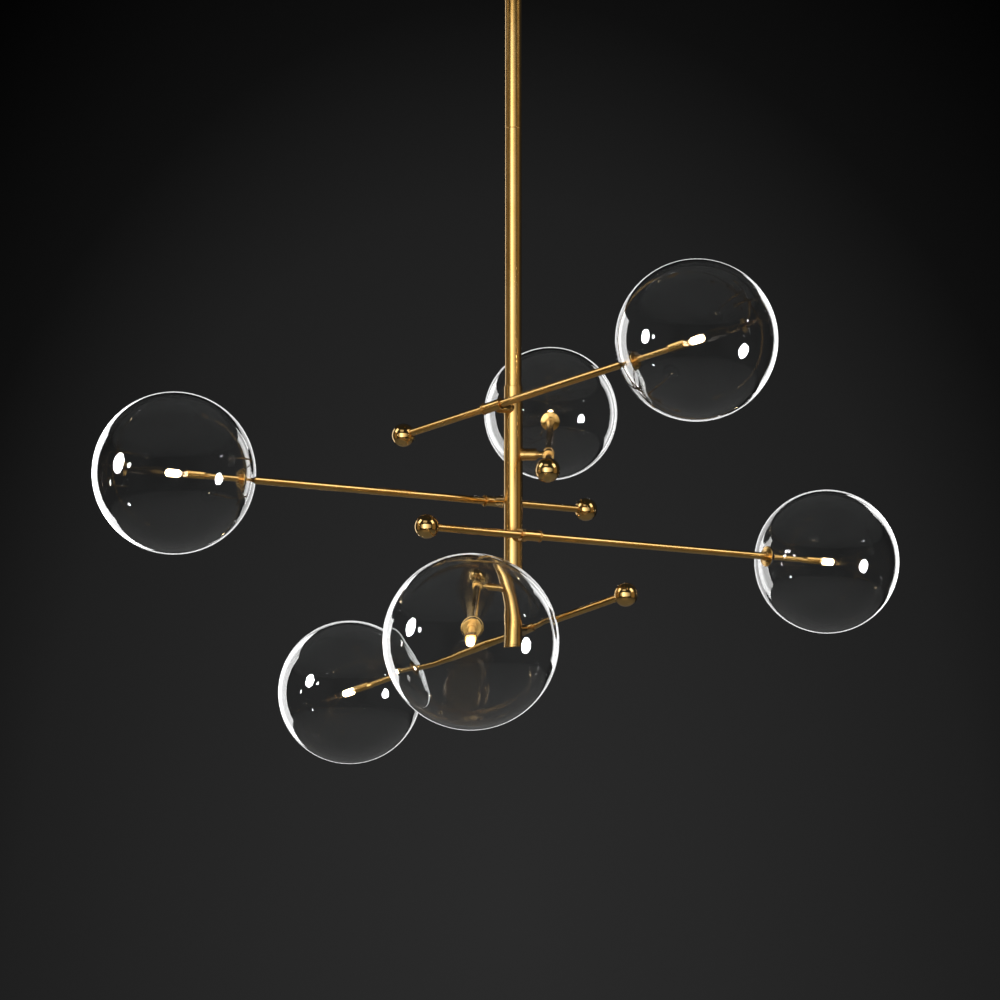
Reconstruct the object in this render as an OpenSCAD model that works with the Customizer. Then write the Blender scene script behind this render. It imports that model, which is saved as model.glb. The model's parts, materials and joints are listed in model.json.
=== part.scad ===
// Branch chandelier: a stem on two down-rods carries six tilting arms, each with a glass globe
// at its long end and a counterweight ball at its short end.
// Millimetres, +Z up. The origin is on the ceiling, at the middle of the bracket's two holes.

/* [Canopy and bracket] */
// Outer diameter of the canopy
canopy_d = 125; // [120:1:150]
// Height of the canopy
canopy_h = 28; // [27:1:40]
// Sheet thickness of the canopy
canopy_wall = 1.5; // [1:0.25:2]
// Shadow gap between the canopy's rim and the ceiling
rim_gap = 0.5; // [0:0.25:2]
// Distance between the bracket's two ceiling holes
ceiling_hole_pitch = 92; // [88:1:100]
// Diameter of the ceiling holes
ceiling_hole_d = 5; // [4:0.5:6]
// Width of the bracket strip
bracket_w = 24; // [20:1:26]
// Thickness of the bracket strip
bracket_t = 2; // [1.5:0.25:2.5]
// Depth of the bracket's raised middle under the ceiling
bracket_drop = 16; // [14:0.5:17]
// Height of the canopy collar
collar_h = 18; // [12:1:30]
// Length of the driver's box
driver_l = 80; // [60:1:84]
// Width of the driver's box
driver_w = 26; // [20:1:28]
// Height of the driver's box
driver_h = 18; // [14:0.5:19]

/* [Rods and stem] */
// Outer diameter of the down-rods
rod_d = 22; // [18:0.5:25]
// Length of each down-rod
rod_len = 340; // [150:5:600]
// Wall of the down-rods and the stem
tube_wall = 1.5; // [1:0.25:2]
// Outer diameter of the stem
stem_d = 25; // [23:0.5:30]
// Height of the stem's end cap below the tube
stem_cap_h = 3; // [2:0.5:6]
// Diameter of the threaded nipples
nipple_d = 10; // [8:0.5:11]
// Bore of the threaded nipples
nipple_bore = 7; // [6:0.25:7]
// Depth of the threaded plug in each tube end
plug_depth = 15; // [12:1:18]

/* [Arm levels] */
// From the stem's top to the first arm's pivot
top_margin = 28.5; // [28:0.5:60]
// Between the outer arms' pivots
outer_gap = 62; // [60:0.5:90]
// Between the two middle arms' pivots
middle_gap = 44.5; // [42:0.5:90]
// From the last arm's pivot to the stem's lower end
bottom_margin = 24; // [22:0.5:60]

/* [Arm directions] */
// Azimuth of arm 1, from +X towards +Y
azimuth_angle_1 = -36; // [-40:0.5:-25]
// Azimuth of arm 2
azimuth_angle_2 = 88.5; // [80:0.5:95]
// Azimuth of arm 3
azimuth_angle_3 = 214; // [205:0.5:220]
// Azimuth of arm 4
azimuth_angle_4 = 28.5; // [20:0.5:35]
// Azimuth of arm 5
azimuth_angle_5 = 269.5; // [265:0.5:280]
// Azimuth of arm 6
azimuth_angle_6 = 146.5; // [140:0.5:155]
// Tilt of arm 1 at rest, globe end up
tilt_angle_1 = 13.5; // [-10:0.5:20]
// Tilt of arm 2 at rest
tilt_angle_2 = 8.5; // [-10:0.5:12]
// Tilt of arm 3 at rest
tilt_angle_3 = 4.25; // [-10:0.25:12]
// Tilt of arm 4 at rest
tilt_angle_4 = -4.75; // [-12:0.25:10]
// Tilt of arm 5 at rest
tilt_angle_5 = -6.25; // [-12:0.25:10]
// Tilt of arm 6 at rest
tilt_angle_6 = -18; // [-20:0.5:10]

/* [Arms] */
// Reach of the four long arms, pivot to globe centre
long_reach = 474; // [400:1:550]
// Reach of the two short arms, pivot to globe centre
short_reach = 320; // [280:1:380]
// Pivot to ball centre
tail = 152; // [130:1:180]
// Stem axis to arm axis
arm_offset = 46.5; // [46:0.25:52]
// Outer diameter of the arm tube
arm_d = 10; // [9:0.25:11]
// Bore of the arm tube
arm_bore = 7; // [6.5:0.1:7.2]
// Counterweight ball diameter
ball_d = 31.5; // [28:0.5:38]
// Depth of wall left in the ball behind its socket
ball_floor = 20.75; // [16:0.25:22]

/* [Pivot] */
// Diameter of the post's flange on the stem
flange_d = 17; // [16:0.5:21]
// Thickness of that flange
flange_t = 2.5; // [2:0.25:3]
// Outer diameter of the post's barrel
barrel_d = 16; // [15:0.25:17]
// Length of the post's barrel
barrel_len = 16; // [15.5:0.25:20]
// Diameter of the pivot pin
pin_d = 8; // [7.5:0.1:8.5]
// Length of the pin's bearing in the barrel
bearing_len = 7; // [5:0.25:7]
// Diameter of the post's spigot in the stem wall
spigot_d = 10; // [9:0.25:11]
// Outer diameter of the sleeve
sleeve_d = 14; // [13:0.25:15]
// Length of the sleeve
sleeve_len = 30; // [22:1:40]

/* [Globe] */
// Outer diameter of the glass globe
globe_d = 200; // [160:1:220]
// Thickness of the glass
glass_t = 3; // [2:0.25:4]
// Diameter of the hole in the glass
globe_hole_d = 24; // [20:0.5:25]
// Diameter of the cap disc outside the glass
cap_d = 28; // [27:0.5:34]
// Thickness of the cap disc at its rim
cap_rim_t = 1.4; // [1:0.1:2]
// Thickness of the cap disc near its hub
cap_t = 3; // [2.5:0.1:4]
// Length of the cap's hub along the rod
cap_hub_len = 4; // [2:0.5:8]
// Thickness of the rubber seal on the glass
seal_t = 1; // [0.75:0.25:2]
// Length of the rubber plug in the hole
plug_len = 6; // [5:0.5:8]

/* [Lamp] */
// Outer diameter of the stalk inside the globe
stalk_d = 8; // [7.6:0.1:9]
// Width of the lamp holder
holder_w = 14; // [12:0.5:16]
// Height of the lamp holder
holder_h = 9; // [8:0.5:10]
// Length of the lamp holder
holder_len = 28; // [20:1:32]
// Globe centre to the holder's mouth
holder_setback = 15; // [10:1:20]
// Diameter of the bulb's glass
bulb_d = 9.5; // [8:0.25:10]
// Length of the bulb's glass past its pinch
bulb_len = 20; // [16:1:26]
// Length of the bulb's flat pinch
pinch_len = 7; // [5:0.5:9]
// Distance between the bulb's pins
bulb_pin_pitch = 4; // [3:0.25:5]

/* [Fits] */
// Radial running clearance of the pivot pin
pin_clearance = 0.05; // [0.02:0.01:0.1]
// Clearance of parts that seat in or on each other
seat_gap = 0.1; // [0.05:0.01:0.15]
// Gap between faces that turn past each other
turn_gap = 0.35; // [0.3:0.05:0.6]

/* [Hidden] */
$fn = 64;
globe_fn = 96;
// How far a cut runs past the face it opens
over = 1;
// How far shapes of one solid run into each other
lap = 1;
arm_count = 6;
ARMS = [1:arm_count];
azimuth_angles = [
    azimuth_angle_1, azimuth_angle_2, azimuth_angle_3,
    azimuth_angle_4, azimuth_angle_5, azimuth_angle_6
];
tilt_angles = [
    tilt_angle_1, tilt_angle_2, tilt_angle_3, tilt_angle_4, tilt_angle_5, tilt_angle_6
];
reaches = [short_reach, long_reach, long_reach, long_reach, long_reach, short_reach];
gaps = [top_margin, outer_gap, outer_gap, middle_gap, outer_gap, outer_gap];
function sum_to(list, count) = count == 0 ? 0 : list[count - 1] + sum_to(list, count - 1);

// Heights, from the ceiling down
canopy_bottom = -rim_gap - canopy_h;
collar_bottom = canopy_bottom - collar_h;
mid_joint = collar_bottom - rod_len;
stem_top = mid_joint - rod_len;
function level(k) = stem_top - sum_to(gaps, k);
stem_bottom = level(arm_count) - bottom_margin;
stem_tube_end = stem_bottom + stem_cap_h;

// Bracket and canopy
strip_gap = 3;
ear_gap = 1.5;
canopy_inner_r = canopy_d / 2 - canopy_wall;
ear_out = sqrt(pow(canopy_inner_r, 2) - pow(bracket_w / 2, 2)) - ear_gap;
ear_in = ear_out - bracket_t;
foot_in = ceiling_hole_pitch / 2 - ceiling_hole_d / 2 - strip_gap;
ear_drop = 20;
screw_z = -12;
screw_r = 2;
screw_past_ear = 1;
thumb_r = 4.5;
thumb_len = 5;
collar_lip = 1;
collar_foot_r = rod_d / 2 + collar_lip;
collar_foot_h = 6;
collar_flare = 4;
collar_head_h = 5;

// Nipples and their nuts
nipple_r = nipple_d / 2;
thread_r = nipple_r + seat_gap;
nipple_setback = 1;
nipple_grip = plug_depth - nipple_setback;
nipple_top = 7;
nut_wall = 3.5;
nut_flats = nipple_d + 2 * nut_wall;
nut_h = 4;

// Leads
trunk_r = 2.2;
lead_r = 1.2;
lead_top = -4.5;
driver_y = bracket_w / 2 + strip_gap;
driver_top = canopy_bottom + canopy_wall + driver_h;
lead_exit_y = driver_y + trunk_r + strip_gap;

// Stem and post, as radii along the pivot's axis
stem_r = stem_d / 2;
stem_bore_r = stem_r - tube_wall;
flange_top = stem_r + flange_t;
flange_root = sqrt(pow(stem_r, 2) - pow(flange_d / 2, 2)) - seat_gap;
barrel_end = flange_top + barrel_len;
bearing_start = barrel_end - bearing_len;
barrel_wall = 1.9;
chamber_r = barrel_d / 2 - barrel_wall;
boss_len = 3;
wire_r = 3;
pin_r = pin_d / 2;
pin_bore_r = 1.8;
pin_step = 1;
pin_thread_r = pin_r - pin_step;
pin_end_gap = 0.9;
pin_end = flange_top + boss_len + pin_end_gap;
washer_t = 1;
washer_play = 0.3;
washer_bottom = bearing_start - washer_t;
pin_shoulder = washer_bottom - turn_gap;
pivot_nut_h = 2.8;
pivot_nut_flats = 2 * cos(30) * (chamber_r - turn_gap);
collar_t = 1.6;
collar_r = 5.6;
barrel_edge = 0.8;
stem_cap_spigot = 6;

// Arm, along its own axis from the pivot
arm_r = arm_d / 2;
arm_bore_r = arm_bore / 2;
sleeve_ring_h = 0.6;
sleeve_ring_r = sleeve_d / 2 + sleeve_ring_h;
sleeve_ring_len = 2;
ball_r = ball_d / 2;
ball_socket_x = -tail - ball_r + ball_floor;
mouth_r = globe_hole_d / 2;
mouth_depth = sqrt(pow(globe_d / 2, 2) - pow(mouth_r, 2));
function mouth_x(k) = reaches[k - 1] - mouth_depth;
function seal_x(k) = mouth_x(k) - seat_gap - seal_t;
cap_r = cap_d / 2;
hub_wall = 1.2;
hub_r = arm_r + hub_wall;
seal_inset = 0.8;
seal_r = cap_r - seal_inset;
ring_nut_t = 3;
stalk_r = stalk_d / 2;
ring_nut_wall = 2.5;
ring_nut_r = stalk_r + ring_nut_wall;
stalk_wall = 1.5;
stalk_socket = 12;
cone_len = 5;
pin_hole_depth = 6;
bulb_pin_r = 0.5;
bulb_pin_len = 5;
pinch_w = 8;
pinch_t = 3.6;

// Pivot frame of arm k: +Z runs out along the post, +X is the arm's level direction, +Y is up
module post_frame(k) {
    translate([0, 0, level(k)])
        rotate([0, 0, azimuth_angles[k - 1]])
            rotate([90, 0, 0])
                children();
}

// The same frame turned by the arm's tilt, moved out to the arm's axis
module arm_frame(k) {
    post_frame(k)
        rotate([0, 0, tilt_angles[k - 1]])
            translate([0, 0, arm_offset])
                children();
}

// Round bar from a to b along X
module bar_x(r, a, b) {
    translate([a, 0, 0])
        rotate([0, 90, 0])
            cylinder(r = r, h = b - a);
}

// Round bar from a to b along Z
module bar_z(r, a, b) {
    translate([0, 0, a])
        cylinder(r = r, h = b - a);
}

// Ball with its poles on the X axis, centred at distance a along it
module ball_x(r, a) {
    translate([a, 0, 0])
        rotate([0, 90, 0])
            sphere(r = r);
}

// Hexagonal prism from a to b along Z
module hex_z(flats, a, b) {
    translate([0, 0, a])
        cylinder(d = flats / cos(30), h = b - a, $fn = 6);
}

// Solid of revolution about X, from a profile of [distance along X, radius]
module turned_x(points) {
    rotate([0, 90, 0])
        rotate_extrude()
            polygon([for (p = points) [p[1], p[0]]]);
}

module ceiling_bracket() {
    outline = [
        [-ear_out, 0], [-foot_in + bracket_t, 0],
        [-foot_in + bracket_t, -bracket_drop + bracket_t],
        [foot_in - bracket_t, -bracket_drop + bracket_t],
        [foot_in - bracket_t, 0], [ear_out, 0],
        [ear_out, -ear_drop], [ear_in, -ear_drop], [ear_in, -bracket_t],
        [foot_in, -bracket_t], [foot_in, -bracket_drop],
        [-foot_in, -bracket_drop], [-foot_in, -bracket_t],
        [-ear_in, -bracket_t], [-ear_in, -ear_drop], [-ear_out, -ear_drop]
    ];
    color("silver")
        difference() {
            translate([0, bracket_w / 2, 0])
                rotate([90, 0, 0])
                    linear_extrude(bracket_w)
                        polygon(outline);
            for (s = [-1, 1])
                translate([s * ceiling_hole_pitch / 2, 0, 0])
                    bar_z(ceiling_hole_d / 2, -bracket_t - over, over);
            bar_z(thread_r, -bracket_drop - over, -bracket_drop + bracket_t + over);
            translate([0, 0, screw_z])
                bar_x(screw_r + seat_gap, -ear_out - over, ear_out + over);
        }
}

module canopy() {
    color("goldenrod")
        difference() {
            bar_z(canopy_d / 2, canopy_bottom, -rim_gap);
            bar_z(canopy_inner_r, canopy_bottom + canopy_wall, over);
            bar_z(thread_r, canopy_bottom - over, canopy_bottom + canopy_wall + over);
            translate([0, 0, screw_z])
                bar_x(screw_r + seat_gap, -canopy_d, canopy_d);
        }
}

module canopy_screws() {
    color("goldenrod")
        for (turn = [0, 180])
            rotate([0, 0, turn])
                translate([0, 0, screw_z])
                    union() {
                        bar_x(screw_r, ear_in - screw_past_ear, canopy_d / 2 + lap);
                        bar_x(thumb_r, canopy_d / 2 + seat_gap, canopy_d / 2 + thumb_len);
                    }
}

module canopy_collar() {
    foot_r = collar_foot_r;
    head_r = foot_r + collar_flare;
    color("goldenrod")
        translate([0, 0, collar_bottom])
            rotate_extrude()
                polygon([
                    [thread_r, 0], [foot_r, 0], [foot_r, collar_foot_h],
                    [head_r, collar_h - collar_head_h], [head_r, collar_h], [thread_r, collar_h]
                ]);
}

module driver() {
    color("whitesmoke")
        translate([-driver_l / 2, driver_y, driver_top - driver_h])
            cube([driver_l, driver_w, driver_h]);
}

// Tube with a threaded plug at its top and, if asked, at its bottom
module plugged_tube(d, top, bottom, both) {
    bore_r = d / 2 - tube_wall;
    floor_z = both ? bottom + plug_depth : bottom - over;
    difference() {
        bar_z(d / 2, bottom, top);
        bar_z(bore_r, floor_z, top - plug_depth);
        bar_z(thread_r, bottom - over, top + over);
    }
}

module upper_downrod() {
    color("goldenrod")
        plugged_tube(rod_d, collar_bottom, mid_joint, true);
}

module lower_downrod() {
    color("goldenrod")
        plugged_tube(rod_d, mid_joint, stem_top, true);
}

module rod_nipples() {
    bracket_top = -bracket_drop + bracket_t;
    color("silver") {
        difference() {
            bar_z(nipple_r, collar_bottom - nipple_grip, -nipple_top);
            bar_z(nipple_bore / 2, collar_bottom - plug_depth, 0);
        }
        for (joint = [mid_joint, stem_top])
            difference() {
                bar_z(nipple_r, joint - nipple_grip, joint + nipple_grip);
                bar_z(nipple_bore / 2, joint - plug_depth, joint + plug_depth);
            }
        for (z = [bracket_top, -bracket_drop - nut_h])
            difference() {
                hex_z(nut_flats, z, z + nut_h);
                bar_z(thread_r, z - over, z + nut_h + over);
            }
    }
}

module stem() {
    color("goldenrod")
        difference() {
            plugged_tube(stem_d, stem_top, stem_tube_end, false);
            for (k = ARMS)
                post_frame(k)
                    bar_z(spigot_d / 2 + seat_gap, 0, stem_d);
        }
}

module stem_cap() {
    color("goldenrod") {
        bar_z(stem_r, stem_bottom, stem_tube_end);
        bar_z(stem_bore_r - seat_gap, stem_tube_end, stem_tube_end + stem_cap_spigot);
    }
}

module leads() {
    color("ivory") {
        bar_z(trunk_r, level(arm_count) - trunk_r, lead_top);
        translate([0, 0, lead_top])
            sphere(r = trunk_r);
        translate([0, lead_exit_y, lead_top])
            sphere(r = trunk_r);
        translate([0, lead_exit_y, lead_top])
            rotate([90, 0, 0])
                cylinder(r = trunk_r, h = lead_exit_y);
        translate([0, lead_exit_y, 0])
            bar_z(trunk_r, driver_top, lead_top);
        for (k = ARMS)
            post_frame(k)
                bar_z(lead_r, 0, arm_offset - lead_r - turn_gap);
    }
}

module friction_washers() {
    color("dimgray")
        for (k = ARMS)
            post_frame(k)
                difference() {
                    bar_z(chamber_r - washer_play, washer_bottom, bearing_start);
                    bar_z(pin_r + washer_play, washer_bottom - over, bearing_start + over);
                }
}

module post(k) {
    color("goldenrod")
        post_frame(k) {
            difference() {
                union() {
                    bar_z(spigot_d / 2, stem_bore_r, flange_top);
                    bar_z(flange_d / 2, flange_root, flange_top);
                    bar_z(chamber_r - seat_gap, flange_top, flange_top + boss_len);
                }
                difference() {
                    rotate([90, 0, 0])
                        cylinder(r = stem_r + seat_gap, h = stem_d, center = true);
                    bar_z(spigot_d / 2, 0, stem_d);
                }
                bar_z(wire_r, 0, barrel_end);
            }
            difference() {
                union() {
                    bar_z(barrel_d / 2, flange_top + seat_gap, barrel_end - barrel_edge);
                    translate([0, 0, barrel_end - barrel_edge])
                        cylinder(r1 = barrel_d / 2, r2 = barrel_d / 2 - barrel_edge, h = barrel_edge);
                }
                bar_z(chamber_r, flange_top - over, bearing_start);
                bar_z(pin_r + pin_clearance, bearing_start - over, barrel_end + over);
            }
        }
}

module tee(k) {
    half = sleeve_len / 2;
    nut_top = pin_shoulder - seat_gap - arm_offset;
    thrust = barrel_end + turn_gap - arm_offset;
    color("goldenrod")
        arm_frame(k) {
            difference() {
                union() {
                    bar_x(sleeve_d / 2, -half, half);
                    bar_x(sleeve_ring_r, -half, -half + sleeve_ring_len);
                    bar_x(sleeve_ring_r, half - sleeve_ring_len, half);
                    bar_z(pin_r, pin_shoulder - arm_offset, -arm_r);
                    bar_z(collar_r, thrust, thrust + collar_t);
                    bar_z(pin_thread_r, pin_end - arm_offset, 0);
                }
                bar_x(arm_r + seat_gap, -sleeve_len, sleeve_len);
                bar_z(pin_bore_r, pin_end - over - arm_offset, 0);
            }
            difference() {
                hex_z(pivot_nut_flats, nut_top - pivot_nut_h, nut_top);
                bar_z(pin_thread_r + seat_gap, -arm_offset, 0);
            }
        }
}

module rod(k) {
    color("goldenrod")
        arm_frame(k)
            difference() {
                bar_x(arm_r, ball_socket_x, seal_x(k));
                bar_x(arm_bore_r, ball_socket_x - over, seal_x(k) + over);
                bar_z(pin_bore_r, -arm_d, 0);
            }
}

module ball(k) {
    color("goldenrod")
        arm_frame(k)
            difference() {
                ball_x(ball_r, -tail);
                bar_x(arm_r + seat_gap, ball_socket_x, 0);
            }
}

module cap(k) {
    seal_face = seal_x(k);
    face = seal_face - seat_gap;
    inner = arm_r + seat_gap;
    color("goldenrod")
        arm_frame(k)
            turned_x([
                [face, inner], [face, cap_r], [face - cap_rim_t, cap_r],
                [face - cap_t, hub_r], [face - cap_t - cap_hub_len, hub_r],
                [face - cap_t - cap_hub_len, inner]
            ]);
    color("dimgray")
        arm_frame(k)
            difference() {
                union() {
                    bar_x(seal_r, seal_face, seal_face + seal_t);
                    bar_x(mouth_r - seat_gap, seal_face, mouth_x(k) + plug_len);
                }
                bar_x(stalk_r + seat_gap, seal_face - over, mouth_x(k) + plug_len + over);
            }
}

module globe(k) {
    color("lightcyan", 0.35)
        arm_frame(k)
            difference() {
                ball_x(globe_d / 2, reaches[k - 1], $fn = globe_fn);
                ball_x(globe_d / 2 - glass_t, reaches[k - 1], $fn = globe_fn);
                bar_x(mouth_r, mouth_x(k) - globe_d, reaches[k - 1]);
            }
}

module lamp_holder(k) {
    back = reaches[k - 1] - holder_setback - holder_len;
    front = back + holder_len;
    plug_end = mouth_x(k) + plug_len;
    color("goldenrod")
        arm_frame(k) {
            difference() {
                union() {
                    bar_x(arm_bore_r - seat_gap, seal_x(k) - stalk_socket, seal_x(k) + lap);
                    bar_x(stalk_r, seal_x(k), back + lap);
                    intersection() {
                        union() {
                            translate([back, 0, 0])
                                rotate([0, 90, 0])
                                    cylinder(r1 = stalk_r, r2 = holder_w / 2, h = cone_len);
                            bar_x(holder_w / 2, back + cone_len, front);
                        }
                        translate([back, -holder_h / 2, -holder_w])
                            cube([holder_len, holder_h, 2 * holder_w]);
                    }
                }
                bar_x(stalk_r - stalk_wall, 0, back);
                for (s = [-1, 1])
                    translate([0, 0, s * bulb_pin_pitch / 2])
                        bar_x(bulb_pin_r + seat_gap, front - pin_hole_depth, front + over);
            }
            bar_x(lead_r, -lead_r, back + lap);
            difference() {
                bar_x(ring_nut_r, plug_end + seat_gap, plug_end + ring_nut_t);
                bar_x(stalk_r + seat_gap, plug_end - over, plug_end + ring_nut_t + over);
            }
        }
}

module bulb(k) {
    seat = reaches[k - 1] - holder_setback;
    glass_start = seat + pinch_len;
    glass_end = glass_start + bulb_len;
    r = bulb_d / 2;
    color("moccasin")
        arm_frame(k) {
            translate([seat, -pinch_t / 2, -pinch_w / 2])
                cube([pinch_len + lap, pinch_t, pinch_w]);
            bar_x(r, glass_start, glass_end - r);
            ball_x(r, glass_end - r);
            for (s = [-1, 1])
                translate([0, 0, s * bulb_pin_pitch / 2])
                    bar_x(bulb_pin_r, seat - bulb_pin_len, seat + lap);
        }
}

ceiling_bracket();
canopy();
canopy_screws();
canopy_collar();
driver();
upper_downrod();
lower_downrod();
rod_nipples();
stem();
stem_cap();
leads();
friction_washers();
for (k = ARMS) {
    post(k);
    tee(k);
    rod(k);
    ball(k);
    cap(k);
    globe(k);
    lamp_holder(k);
    bulb(k);
}
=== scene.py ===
import json
from math import asin, cos, pi, radians, sin, sqrt, tan

import bmesh
import bpy
from mathutils import Matrix, Vector, noise

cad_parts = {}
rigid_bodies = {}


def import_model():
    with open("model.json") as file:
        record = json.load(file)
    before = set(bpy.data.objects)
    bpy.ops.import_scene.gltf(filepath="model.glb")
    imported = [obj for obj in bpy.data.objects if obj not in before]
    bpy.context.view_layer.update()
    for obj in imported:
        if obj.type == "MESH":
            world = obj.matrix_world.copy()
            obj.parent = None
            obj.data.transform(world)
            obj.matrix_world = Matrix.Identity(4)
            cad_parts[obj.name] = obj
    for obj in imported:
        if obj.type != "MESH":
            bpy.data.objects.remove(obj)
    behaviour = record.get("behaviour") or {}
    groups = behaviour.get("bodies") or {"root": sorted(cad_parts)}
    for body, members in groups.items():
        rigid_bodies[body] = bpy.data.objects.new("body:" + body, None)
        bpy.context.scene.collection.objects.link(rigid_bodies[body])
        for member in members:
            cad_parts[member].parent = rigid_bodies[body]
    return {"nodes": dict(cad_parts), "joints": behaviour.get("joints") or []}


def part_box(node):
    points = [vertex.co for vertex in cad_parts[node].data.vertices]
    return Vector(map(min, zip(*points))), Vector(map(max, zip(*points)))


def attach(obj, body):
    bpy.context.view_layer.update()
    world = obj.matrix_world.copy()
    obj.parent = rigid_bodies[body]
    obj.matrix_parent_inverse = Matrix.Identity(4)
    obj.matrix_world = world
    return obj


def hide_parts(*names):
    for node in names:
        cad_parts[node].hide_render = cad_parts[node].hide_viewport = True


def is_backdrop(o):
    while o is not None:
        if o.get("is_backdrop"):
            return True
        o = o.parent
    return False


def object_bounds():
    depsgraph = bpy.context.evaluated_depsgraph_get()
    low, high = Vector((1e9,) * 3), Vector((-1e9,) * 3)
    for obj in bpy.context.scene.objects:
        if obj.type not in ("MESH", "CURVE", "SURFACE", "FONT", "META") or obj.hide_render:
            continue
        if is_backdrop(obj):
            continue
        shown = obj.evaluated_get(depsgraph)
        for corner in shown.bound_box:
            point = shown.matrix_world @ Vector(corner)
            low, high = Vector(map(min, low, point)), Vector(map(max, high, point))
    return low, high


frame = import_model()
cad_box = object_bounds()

# Branch chandelier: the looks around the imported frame. Positions come from the frame, in metres.
# The sizes below are the CAD model's, in millimetres, and each piece is shaped in millimetres
# about its own X axis before it is put in place. A corner of a profile is written as
# (along the axis, out from it, fillet radius).

MM = 0.001
UP = Vector((0, 0, 1))
EAST = Vector((1, 0, 0))

# Play between two pieces that sit on or in each other
SEAT = 0.1

# Rods, stem and canopy
STEM_R = 12.5
ROD_R = 11.0
PLUG_R = 5.1
CANOPY_R = 62.5
CANOPY_WALL = 1.5
KNURL_TEETH = 24
KNURL_DEPTH = 0.3
KNURL_BAND = 0.35

# Post: its radii, and its ends as distances from the stem's axis
POST_ROOT = 9.0
FLANGE_R = 8.5
FLANGE_TOP = 15.0
BARREL_R = 8.0
BARREL_END = 31.0
PIVOT_R = 4.0
PIVOT_BORE_R = 4.05

# Arm: its radii, its distance from the stem's axis, and distances from the pivot along it
ARM_OFFSET = 46.5
ARM_R = 5.0
ARM_BORE_R = 3.5
SLEEVE_R = 7.0
SLEEVE_RING_R = 7.6
SLEEVE_HALF = 15.0
TAIL = 152.0
BALL_R = 15.75
BALL_SOCKET = -147.0

# Globe: its wall is thicker from LIP_START on, an angle from the pole opposite its mouth, and
# its inner face is uneven by a slow and a fine wave, which die out next to the mouth
GLOBE_R = 100.0
MOUTH_R = 12.0
MOUTH_DEPTH = sqrt(GLOBE_R**2 - MOUTH_R**2)
WALL = 3.0
LIP_WALL = 4.8
LIP_START = radians(118)
LIP_FILLET = 1.6
WAVE, WAVE_SCALE = 0.4, 1.5
FINE_WAVE, FINE_WAVE_SCALE = 0.06, 4.0
WAVE_END, WAVE_FADE = 0.985, 0.1

# Cap and lamp: the holder's ends are distances from the globe's centre along the arm
CAP_R = 14.0
SEAL_T = 1.1
STALK_R = 4.0
HOLDER_R = 7.0
HOLDER_FLAT = 4.5
HOLDER_WALL = 1.1
HOLDER_RECESS = 1.6
HOLDER_BACK = -43.0
HOLDER_FRONT = -15.0
BULB_R = 4.75
BULB_WALL = 0.7
BULB_LEN = 20
PINCH_LEN = 7
PIN_R = 0.5
PIN_LEN = 5
PIN_ROOT = 1
PIN_SIDE = 2

# Mesh fineness, and how near a point counts as on the axis or at an end
FILLET_STEPS = 4
FILLET_SHARE = 0.3
SUPPORT = 0.3
SUPPORT_SHARE = 0.2
BEVEL_STEPS = 3
GLOBE_SEGMENTS = 144
GLOBE_STEPS = 104
BALL_STEPS = 56
DOME_STEPS = 12
COVE_STEPS = 12
ON_AXIS = 1e-6
END_BAND = 0.1
SHARP = radians(38)

scene = bpy.context.scene


# ---------------------------------------------------------------- shapes

def rounded(corners):
    """Profile points (along, out) of corners (along, out, fillet radius), all in millimetres.

    Each fillet has a support point just past its ends, which keeps the long faces' shading flat.
    """
    points = []
    for i, (along, out, fillet) in enumerate(corners):
        here = Vector((along, out))
        if fillet == 0:
            points.append(here)
            continue
        back = Vector(corners[i - 1][:2]) - here
        ahead = Vector(corners[(i + 1) % len(corners)][:2]) - here
        inside = back.angle(ahead)
        room = FILLET_SHARE * min(back.length, ahead.length)
        cut = min(fillet / tan(inside / 2), room)
        radius = cut * tan(inside / 2)
        start = here + back.normalized() * cut
        end = here + ahead.normalized() * cut
        middle = (back.normalized() + ahead.normalized()).normalized()
        centre = here + middle * (radius / sin(inside / 2))
        sweep = (start - centre).angle(end - centre)
        points.append(start + back.normalized() * min(SUPPORT, SUPPORT_SHARE * back.length))
        for step in range(FILLET_STEPS + 1):
            share = step / FILLET_STEPS
            weight_a = sin((1 - share) * sweep) / sin(sweep)
            weight_b = sin(share * sweep) / sin(sweep)
            points.append(centre + (start - centre) * weight_a + (end - centre) * weight_b)
        points.append(end + ahead.normalized() * min(SUPPORT, SUPPORT_SHARE * ahead.length))
    return points


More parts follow.
